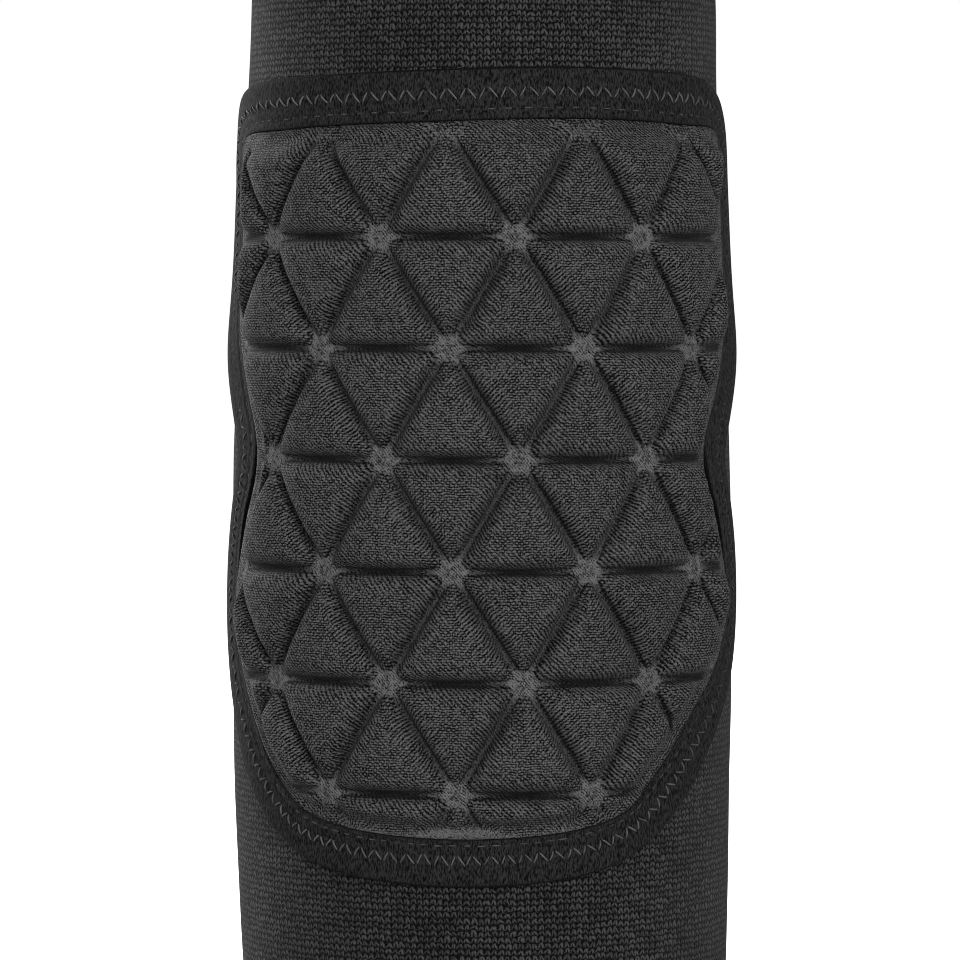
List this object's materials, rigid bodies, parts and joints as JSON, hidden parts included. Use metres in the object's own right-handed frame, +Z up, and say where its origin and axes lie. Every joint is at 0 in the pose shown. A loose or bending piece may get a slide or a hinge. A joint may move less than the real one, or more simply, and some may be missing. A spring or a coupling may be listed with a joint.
{
  "type": "padded elbow sleeve",
  "caption": "Knitted compression sleeve for the arm, with a moulded foam elbow pad of raised triangular cells and a sewn fabric border round the pad.",
  "frame": {"origin": "on the tube's axis, level with the pad's waist, where the elbow sits", "axes": "+Z up the arm along the tube's axis, the pad faces -Y, +X to the right as the pad is seen from outside"},
  "size_m": [0.0972, 0.0976, 0.254],
  "materials": {
    "rib_knit": "matt open knit",
    "pad_jersey": "fine jersey over foam",
    "border_fabric": "brushed, matt"
  },
  "bodies": {
    "root": {"knit_sleeve": "rib_knit", "elbow_pad": "pad_jersey", "pad_border": "border_fabric"}
  },
  "joints": []
}
